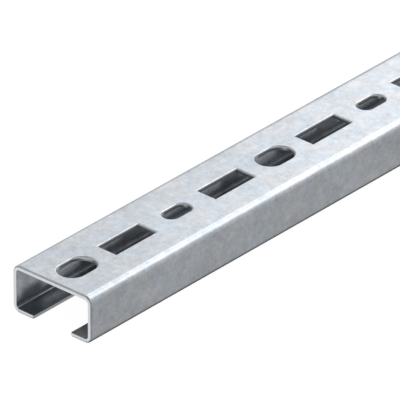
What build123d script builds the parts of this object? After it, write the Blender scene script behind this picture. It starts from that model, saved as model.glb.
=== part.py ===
from build123d import *
import os

# Perforated C-profile mounting channel, roll-formed from one strip of galvanised steel.
# X runs across the section, Y along the length, Z up. The channel lies on its two lips,
# open side down and perforated web up, with the origin under its middle.

# Section, in millimetres
width = 35.0             # over the side walls
height = 18.0            # lips to web, outside
thickness = 1.5          # of the strip
bend_radius = 3.0        # outside of each bend
slot_width = 16.5        # clear mouth between the two lips
length = 300.0           # cut length

# Perforation of the web: large oblong, rectangle, small oblong, rectangle, then again
hole_pitch = 25.0        # hole centre to hole centre
first_hole = 12.5        # end of the channel to the first hole centre
large_oblong = (15.0, 10.2)    # along the channel, across it
small_oblong = (12.0, 6.4)
rectangle = (20.1, 8.3)

# Cut edges: punch, shear and slitter each pull the outer rim of their cut over
punch_rollover = 0.5     # round the rim of each hole, on the web's outer face
shear_rollover = 0.6     # round the outer rim of the two cut ends
slit_rollover = 0.65     # along the outer corner of each lip


def row_places(first, step):
    """Centres of every step-th hole of the row, the first one counted from the front end."""
    hole_count = int((length - 2 * first_hole) / hole_pitch) + 1
    front = first_hole - length / 2
    return [(0, front + hole_pitch * i) for i in range(first, hole_count, step)]


def is_outer_rim(edge):
    """True for an edge that reaches the outside of the section."""
    box = edge.bounding_box()
    gaps = (box.min.Z, height - box.max.Z, box.min.X + width / 2, width / 2 - box.max.X)
    return min(gaps) < 0.01


with BuildPart() as channel:
    # The strip's section: the line of its outer face, lip to lip, thickened inwards
    with BuildSketch(Plane.XZ):
        with BuildLine():
            FilletPolyline(
                (-slot_width / 2, 0),
                (-width / 2, 0),
                (-width / 2, height),
                (width / 2, height),
                (width / 2, 0),
                (slot_width / 2, 0),
                radius=bend_radius,
            )
            offset(amount=thickness, side=Side.RIGHT)
        make_face()
    extrude(amount=length / 2, both=True)

    # Slit edges of the lips, then the whole outer rim of each cut end
    lip_corners = channel.edges().filter_by(Axis.Y).group_by(Axis.Z)[0]
    fillet(lip_corners.sort_by(lambda edge: abs(edge.center().X))[:2], slit_rollover)
    ends = channel.edges().group_by(Axis.Y)
    fillet((ends[0] + ends[-1]).filter_by(is_outer_rim), shear_rollover)

    # One row of holes down the middle of the web
    with BuildSketch(Plane.XY.offset(height)):
        with Locations(*row_places(0, 4)):
            SlotOverall(*large_oblong, rotation=90)
        with Locations(*row_places(2, 4)):
            SlotOverall(*small_oblong, rotation=90)
        with Locations(*row_places(1, 2)):
            Rectangle(rectangle[1], rectangle[0])
    extrude(amount=-height / 2, mode=Mode.SUBTRACT)
    web = channel.faces().sort_by(Axis.Z)[-1]
    fillet(web.inner_wires().edges(), punch_rollover)

channel.part.label = "channel"
os.makedirs("parts", exist_ok=True)
export_step(channel.part, "parts/channel.step")
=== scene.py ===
import math

import bmesh
import bpy
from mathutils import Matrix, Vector


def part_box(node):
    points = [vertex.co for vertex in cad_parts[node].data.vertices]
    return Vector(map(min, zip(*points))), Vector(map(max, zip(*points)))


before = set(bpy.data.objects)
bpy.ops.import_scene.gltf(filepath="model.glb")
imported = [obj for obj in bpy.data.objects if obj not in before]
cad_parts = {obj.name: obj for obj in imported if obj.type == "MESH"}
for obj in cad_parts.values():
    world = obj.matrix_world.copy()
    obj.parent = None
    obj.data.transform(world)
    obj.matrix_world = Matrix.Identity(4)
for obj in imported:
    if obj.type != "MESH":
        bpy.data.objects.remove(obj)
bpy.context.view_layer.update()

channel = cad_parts["channel"]
low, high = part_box("channel")

# The frame is in metres: Y runs along the channel, its front end is at low.y, and Z points up out of
# the web. The pattern of the zinc is written in millimetres.
MM = 1000.0

# ---------------------------------------------------------------- camera

CAMERA_AZIMUTH = 41.43        # degrees round from looking along the channel
CAMERA_ELEVATION = 29.68
CAMERA_DISTANCE = 3.518       # metres, a long lens from far away
LENS = 943.3                  # mm
SENSOR_WIDTH = 36             # mm
CLIP_END = 100                # metres, past the camera's distance and the whole floor
LOOK_AT = Vector((0.0008, low.y + 0.07327, high.z - 0.00006))     # a point on the web


def spherical(azimuth, elevation):
    a, e = math.radians(azimuth), math.radians(elevation)
    return Vector((math.sin(a) * math.cos(e), -math.cos(a) * math.cos(e), math.sin(e)))


def add_facing(thing, towards):
    """Add a camera or lamp that stands in the direction towards, and faces back along it."""
    thing.rotation_mode = "QUATERNION"
    thing.rotation_quaternion = (-towards).to_track_quat("-Z", "Y")
    bpy.context.scene.collection.objects.link(thing)


def make_camera():
    data = bpy.data.cameras.new("camera")
    data.lens = LENS
    data.sensor_width = SENSOR_WIDTH
    data.clip_end = CLIP_END
    camera = bpy.data.objects.new("camera", data)
    back = spherical(CAMERA_AZIMUTH, CAMERA_ELEVATION)
    camera.location = LOOK_AT + back * CAMERA_DISTANCE
    add_facing(camera, back)
    bpy.context.scene.camera = camera


# ---------------------------------------------------------------- shader nodes

EVEN = (1.0, 1.0, 1.0)


class Shader:
    """The node tree of a material or world. Each method adds nodes and gives back their output."""

    def __init__(self, owner):
        owner.use_nodes = True
        self.tree = owner.node_tree
        self.tree.nodes.clear()

    def node(self, kind, inputs=None, **settings):
        """A new node. Each input is another node's output, or a value for the socket itself."""
        node = self.tree.nodes.new(kind)
        for name, value in settings.items():
            setattr(node, name, value)
        for name, value in (inputs or {}).items():
            if isinstance(value, bpy.types.NodeSocket):
                self.tree.links.new(value, node.inputs[name])
            else:
                node.inputs[name].default_value = value
        return node

    def calculate(self, operation, a, b=0.0, c=0.0):
        return self.node("ShaderNodeMath", {0: a, 1: b, 2: c}, operation=operation).outputs[0]

    def absolute(self, value):
        return self.calculate("ABSOLUTE", value)

    def product(self, first, *others):
        for other in others:
            first = self.calculate("MULTIPLY", first, other)
        return first

    def largest(self, first, *others):
        for other in others:
            first = self.calculate("MAXIMUM", first, other)
        return first

    def split(self, vector):
        """The X, Y and Z of a vector, by name."""
        return self.node("ShaderNodeSeparateXYZ", {0: vector}).outputs

    def step(self, value, start, end):
        """A soft step from 0 at start to 1 at end. Start may be above end."""
        inputs = {"Value": value, "From Min": start, "From Max": end}
        step = self.node("ShaderNodeMapRange", inputs, interpolation_type="SMOOTHSTEP")
        return step.outputs["Result"]

    def colours(self, factor, a, b):
        """Colour a where the factor is 0, colour b where it is 1."""
        return self.node("ShaderNodeMix", {0: factor, 6: a, 7: b}, data_type="RGBA").outputs[2]

    def numbers(self, factor, a, b):
        """Number a where the factor is 0, number b where it is 1."""
        return self.node("ShaderNodeMix", {0: factor, 2: a, 3: b}, data_type="FLOAT").outputs[0]

    def shade(self, tone, mask, strength):
        """The tone, times the strength where the mask is 1."""
        return self.product(tone, self.numbers(mask, 1.0, strength))

    def noise(self, place, scale, detail=2.0, roughness=0.5, stretch=EVEN):
        """Cloud noise, about 0.5 on the mean, with scale clouds a millimetre."""
        if stretch != EVEN:
            place = self.node("ShaderNodeMapping", {"Vector": place, "Scale": stretch}).outputs[0]
        inputs = {"Vector": place, "Scale": scale, "Detail": detail, "Roughness": roughness}
        return self.node("ShaderNodeTexNoise", inputs).outputs[0]

    def uneven(self, level, noise, depth):
        """The level, raised and lowered by the noise round its mean."""
        return self.calculate("MULTIPLY_ADD", self.calculate("SUBTRACT", noise, 0.5), depth, level)

    def output(self, output_kind, surface):
        self.node(output_kind, {"Surface": surface.outputs[0]})


# ---------------------------------------------------------------- floor and world

FLOOR_HALF_SIZE = 20.0        # metres
FLOOR_GAP = 0.0001            # metres, so that the floor and the lips don't share a plane
FLOOR_COLOUR = (0.8, 0.8, 0.8, 1)
FLOOR_LIFT = 0.94             # how much of the floor's look in the camera is plain white
WHITE = 1.04                  # the plain white that the camera sees
MIRROR_WHITE = 0.74           # how bright the floor is in the metal's reflections
PAINTED_LIP_SHADOW = 0.1               # the same in a strip of painted shadow under each lip
# Soft steps for that painted shadow strip, from 0 at the first number to 1 at the second, in metres
# from the middle
LIP_FROM = (0.0075, 0.010)
LIP_TO = (0.0195, 0.0165)
LIP_ENDS = (high.y + 0.002, high.y - 0.001)
AIR_COLOUR = (0.97, 0.985, 1.0, 1)
AIR_LIGHT = 0.6               # the light of the room round the lamps
AIR_SEEN = 1.0                # the white that the camera sees behind the channel


def make_floor():
    mesh = bpy.data.meshes.new("floor")
    shape = bmesh.new()
    bmesh.ops.create_grid(shape, x_segments=1, y_segments=1, size=FLOOR_HALF_SIZE)
    shape.to_mesh(mesh)
    shape.free()
    floor = bpy.data.objects.new("floor", mesh)
    floor.location.z = low.z - FLOOR_GAP
    bpy.context.scene.collection.objects.link(floor)

    material = bpy.data.materials.new("white_floor")
    shader = Shader(material)
    path = shader.node("ShaderNodeLightPath").outputs
    mirror = shader.largest(path["Is Glossy Ray"], path["Is Transmission Ray"])
    lift = shader.calculate("MULTIPLY_ADD", path["Is Camera Ray"], FLOOR_LIFT, mirror)
    at = shader.split(shader.node("ShaderNodeNewGeometry").outputs["Position"])
    aside, along = shader.absolute(at["X"]), shader.absolute(at["Y"])
    # A painted shadow: in the metal's reflections, the floor is dark in a strip under each lip.
    across_lip_shadow = shader.product(shader.step(aside, *LIP_FROM), shader.step(aside, *LIP_TO))
    painted_lip_shadow = shader.product(across_lip_shadow, shader.step(along, *LIP_ENDS))
    mirror_white = shader.numbers(painted_lip_shadow, MIRROR_WHITE, PAINTED_LIP_SHADOW)
    lit = shader.node("ShaderNodeBsdfDiffuse", {"Color": FLOOR_COLOUR})
    strength = shader.numbers(mirror, WHITE, mirror_white)
    glow = shader.node("ShaderNodeEmission", {"Strength": strength})
    mix = shader.node("ShaderNodeMixShader", {0: lift, 1: lit.outputs[0], 2: glow.outputs[0]})
    shader.output("ShaderNodeOutputMaterial", mix)
    mesh.materials.append(material)


def make_world():
    world = bpy.data.worlds.new("studio")
    shader = Shader(world)
    path = shader.node("ShaderNodeLightPath").outputs
    seen = shader.largest(path["Is Camera Ray"], path["Is Transmission Ray"])
    strength = shader.numbers(seen, AIR_LIGHT, AIR_SEEN)
    air = shader.node("ShaderNodeBackground", {"Color": AIR_COLOUR, "Strength": strength})
    shader.output("ShaderNodeOutputWorld", air)
    bpy.context.scene.world = world


# ---------------------------------------------------------------- lamps

# Name, azimuth and elevation in degrees, distance, width and height in metres, and radiance. Seen
# from the camera, the top face mirrors front_box. Its right bend mirrors top_box, back_box, side_box
# and low_box, from top to bottom: the bright line along the bend is back_box and side_box. The last
# three light the front end and the sides that the camera doesn't see.
LAMPS = (
    ("front_box", 226, 26, 0.8, (0.45, 0.4), 0.95),
    ("top_box", 204, 42, 0.8, (0.45, 0.4), 0.85),
    ("back_box", 184, 47, 2.2, (2.1, 1.2), 1.2),
    ("side_box", 157, 42, 2.2, (1.4, 1.1), 1.25),
    ("low_box", 132, 18, 1.6, (0.8, 0.9), 0.42),
    ("fill_box", 318, 42, 1.6, (1.0, 0.8), 0.6),
    ("right_box", 70, 30, 2.2, (2.6, 1.5), 0.6),
    ("left_box", 280, 30, 2.2, (2.0, 1.5), 0.5),
)


def softbox(name, azimuth, elevation, distance, size, radiance):
    """An area lamp that faces the channel. Its radiance is what a mirror would show of it."""
    data = bpy.data.lights.new(name, "AREA")
    data.shape = "RECTANGLE"
    data.size, data.size_y = size
    data.energy = radiance * math.pi * size[0] * size[1]
    lamp = bpy.data.objects.new(name, data)
    towards = spherical(azimuth, elevation)
    lamp.location = Vector((0, 0, high.z / 2)) + towards * distance
    add_facing(lamp, towards)


# ---------------------------------------------------------------- where things are on the channel

# Each is a soft step, from 0 at its first number to 1 at its second.
# Distance from the plane of the nearer end, in millimetres
SHEARED_FACE = (0.05, 0.01)
ROLLED_RIM = (0.7, 0.5)
BEHIND_RIM = (1.5, 2.5)
DEEP = (15, 23)
# Distance from the middle plane, in millimetres
HOLE_ROW = (7.0, 6.5)
LIP_EDGES = (8.9, 8.7)
INNER_BENDS = (13.6, 14.4)
BETWEEN_LEGS = (16.3, 16.1)
# X, in millimetres
LEFT_WALL = (-15.0, -15.8)
# Height, in millimetres
LIP_HEIGHT = (2.0, 1.7)
ABOVE_LIPS = (1.3, 1.45)
BELOW_WEB = (16.7, 16.55)
BEND_HEIGHT = (4.2, 3.2)
WEB_HEIGHT = (14.0, 14.5)
BURNISHED_HEIGHT = (16.9, 17.6)
PATCH_FOOT = (2.8, 4.8)
PATCH_TOP = (8.2, 5.8)
UPPER_WALL = (7.0, 10.0)
# How far the surface faces one way, from 0 to 1
FACES_END = (0.1, 0.4)
FACES_SIDE = (0.6, 0.85)
FACES_UP = (0.6, 0.9)
STANDS_UPRIGHT = (0.55, 0.25)


def find_parts(shader, at, facing):
    """Masks for each kind of surface, 1 on it and 0 elsewhere."""
    from_end = shader.calculate("SUBTRACT", high.y * MM, shader.absolute(at["Y"]))
    from_middle = shader.absolute(at["X"])
    height = at["Z"]

    sheared = shader.step(from_end, *SHEARED_FACE)
    rim = shader.step(from_end, *ROLLED_RIM)
    rolled = shader.product(rim, shader.step(shader.absolute(facing["Y"]), *FACES_END))

    row = shader.product(shader.step(from_middle, *HOLE_ROW), shader.step(height, *WEB_HEIGHT))
    row = shader.product(row, shader.step(from_end, *BEHIND_RIM))
    upright = shader.step(shader.absolute(facing["Z"]), *STANDS_UPRIGHT)
    hole_wall = shader.product(row, upright)
    burnished = shader.product(hole_wall, shader.step(height, *BURNISHED_HEIGHT))

    mouth = shader.product(shader.step(from_middle, *LIP_EDGES), shader.step(height, *LIP_HEIGHT))
    slit = shader.product(mouth, shader.step(shader.absolute(facing["X"]), *FACES_SIDE))

    inside = shader.step(from_middle, *BETWEEN_LEGS)
    inside = shader.product(inside, shader.step(height, *ABOVE_LIPS), shader.step(height, *BELOW_WEB))
    bend = shader.product(shader.step(from_middle, *INNER_BENDS), shader.step(height, *BEND_HEIGHT))
    left_wall = shader.product(inside, shader.step(at["X"], *LEFT_WALL))
    patch_height = shader.product(shader.step(height, *PATCH_FOOT), shader.step(height, *PATCH_TOP))
    return {
        "rolled": rolled,
        "hole_wall": hole_wall,
        "burnished": burnished,
        "slit": slit,
        "cut": shader.largest(sheared, hole_wall, slit),
        "inside": inside,
        "deep_bend": shader.product(inside, bend, shader.step(from_end, *DEEP)),
        "lip_top": shader.product(inside, shader.step(facing["Z"], *FACES_UP)),
        "middle_wall": shader.product(left_wall, patch_height),
        "upper_wall": shader.product(left_wall, shader.step(height, *UPPER_WALL)),
    }


# ---------------------------------------------------------------- zinc

ZINC_COOL = (0.378, 0.409, 0.445, 1)
ZINC_WARM = (0.402, 0.413, 0.430, 1)
HUE_SCALE = 0.11
HUE_STEP = (0.35, 0.65)

# The clouds of the zinc, from broad to fine: how many a millimetre, detail, roughness, stretch, depth
CLOUDS = (
    (0.035, 2.0, 0.5, EVEN, 0.26),
    (0.16, 3.0, 0.6, (1.0, 0.6, 1.0), 0.34),
    (0.38, 2.0, 0.5, EVEN, 0.42),
    (0.95, 2.0, 0.6, EVEN, 0.44),
)

# Stains on the inside. Their shift works like the seed of the noise.
STAIN_SHIFT = (23.0, 390.0, 9.0)
STAIN_SCALE = 0.11
STAIN_DETAIL = 5.0
STAIN_ROUGHNESS = 0.62
STAIN_STRETCH = (1.0, 0.7, 1.0)
STAIN_DEPTH = 1.8
STAIN_MEAN = 1.12

# The light that comes through the holes from behind on the right lies on the left inner wall, in
# one patch a hole. It is painted. The holes repeat every ROW_PERIOD, so each row below stands for
# the same hole in every period: the middle of its patch from the front end, half the patch's length,
# and the height of its lower edge, all in millimetres.
ROW_PERIOD = 100
PATCHES = (
    (22.0, 9.3, 3.6),
    (46.0, 6.0, 5.4),
    (73.8, 10.2, 3.4),
    (96.0, 6.6, 3.2),
)
PATCH_SOFT = 1.8              # millimetres to each side of a patch's edge
PATCH_SOFT_ABOVE = 1.6
WALL_SHADED = 0.8             # the painted shade of the wall between the patches
WALL_LIT = 2.3                # and the painted light in them

# Painted shade on the upper part of the left inner wall, as a factor on the zinc's tone.
UPPER_WALL_PAINTED_SHADE = 0.85
# Painted shade on the tops of the lips inside the channel, as a factor on the zinc's tone.
LIP_TOP_PAINTED_SHADE = 0.58
# Painted shade on the rolled rim at the two ends, as a factor on the zinc's tone.
ROLLED_RIM_PAINTED_SHADE = 0.8

# Bare steel
SHEARED = (0.93, 0.95, 0.97, 1)        # the channel's two ends
SLIT = (0.40, 0.42, 0.44, 1)           # the edges of the lips
BURNISHED = (0.72, 0.74, 0.76, 1)      # the upper part of a hole's wall, rubbed by the punch
TORN = (0.34, 0.35, 0.36, 1)           # the lower part, where the steel tore

OUTER_ROUGHNESS = 0.28
INNER_ROUGHNESS = 0.30
DEEP_BEND_ROUGHNESS = 0.5
CUT_ROUGHNESS = 0.55
HOLE_WALL_ROUGHNESS = 0.35


def light_patches(shader, at):
    """1 where the light through a hole lies on the left inner wall, 0 between the patches."""
    lit = 0.0
    for middle, half_length, low_edge in PATCHES:
        along = shader.calculate("SUBTRACT", at["Y"], low.y * MM + middle)
        along = shader.calculate("WRAP", along, ROW_PERIOD / 2, -ROW_PERIOD / 2)
        start, end = half_length + PATCH_SOFT, half_length - PATCH_SOFT
        patch = shader.step(shader.absolute(along), start, end)
        foot = shader.step(at["Z"], low_edge - PATCH_SOFT, low_edge + PATCH_SOFT_ABOVE)
        lit = shader.largest(lit, shader.product(patch, foot))
    return lit


def stain(shader, mm):
    shifted = shader.node("ShaderNodeMapping", {"Vector": mm, "Location": STAIN_SHIFT}).outputs[0]
    stains = shader.noise(shifted, STAIN_SCALE, STAIN_DETAIL, STAIN_ROUGHNESS, STAIN_STRETCH)
    return shader.uneven(STAIN_MEAN, stains, STAIN_DEPTH)


def zinc_colour(shader, mm, at, part):
    """The zinc's hue, times its tone at each place, with painted light and shade inside and at the
    ends.
    """
    tone = 1.0
    for scale, detail, roughness, stretch, depth in CLOUDS:
        tone = shader.uneven(tone, shader.noise(mm, scale, detail, roughness, stretch), depth)
    # Painted shade on the rolled rim at the ends.
    tone = shader.shade(tone, part["rolled"], ROLLED_RIM_PAINTED_SHADE)
    tone = shader.shade(tone, part["inside"], stain(shader, mm))
    # Painted light in patches on the left inner wall, and painted shade between them.
    wall_tone = shader.numbers(light_patches(shader, at), WALL_SHADED, WALL_LIT)
    tone = shader.shade(tone, part["middle_wall"], wall_tone)
    # Painted shade on the upper part of the left inner wall.
    tone = shader.shade(tone, part["upper_wall"], UPPER_WALL_PAINTED_SHADE)
    # Painted shade on the tops of the lips inside.
    tone = shader.shade(tone, part["lip_top"], LIP_TOP_PAINTED_SHADE)
    hue = shader.step(shader.noise(mm, HUE_SCALE), *HUE_STEP)
    zinc = shader.colours(hue, ZINC_COOL, ZINC_WARM)
    return shader.node("ShaderNodeVectorMath", {0: zinc, "Scale": tone}, operation="SCALE").outputs[0]


def steel_colour(shader, part):
    steel = shader.colours(part["hole_wall"], SHEARED, TORN)
    steel = shader.colours(part["slit"], steel, SLIT)
    return shader.colours(part["burnished"], steel, BURNISHED)


def surface_roughness(shader, part):
    rough = shader.numbers(part["inside"], OUTER_ROUGHNESS, INNER_ROUGHNESS)
    rough = shader.numbers(part["deep_bend"], rough, DEEP_BEND_ROUGHNESS)
    rough = shader.numbers(part["cut"], rough, CUT_ROUGHNESS)
    return shader.numbers(part["hole_wall"], rough, HOLE_WALL_ROUGHNESS)


def make_zinc(material):
    """Strip-galvanised steel: cloudy zinc on the faces, bare steel where the strip was cut."""
    shader = Shader(material)
    place = shader.node("ShaderNodeTexCoord").outputs
    inputs = {0: place["Object"], 1: (MM, MM, MM)}
    mm = shader.node("ShaderNodeVectorMath", inputs, operation="MULTIPLY").outputs[0]
    at, facing = shader.split(mm), shader.split(place["Normal"])
    part = find_parts(shader, at, facing)
    zinc = zinc_colour(shader, mm, at, part)
    colour = shader.colours(part["cut"], zinc, steel_colour(shader, part))
    rough = surface_roughness(shader, part)
    inputs = {"Base Color": colour, "Roughness": rough, "Metallic": 1.0}
    shader.output("ShaderNodeOutputMaterial", shader.node("ShaderNodeBsdfPrincipled", inputs))


make_camera()
make_floor()
make_world()
for lamp in LAMPS:
    softbox(*lamp)
make_zinc(channel.data.materials[0])

bpy.context.scene.view_settings.view_transform = "Standard"
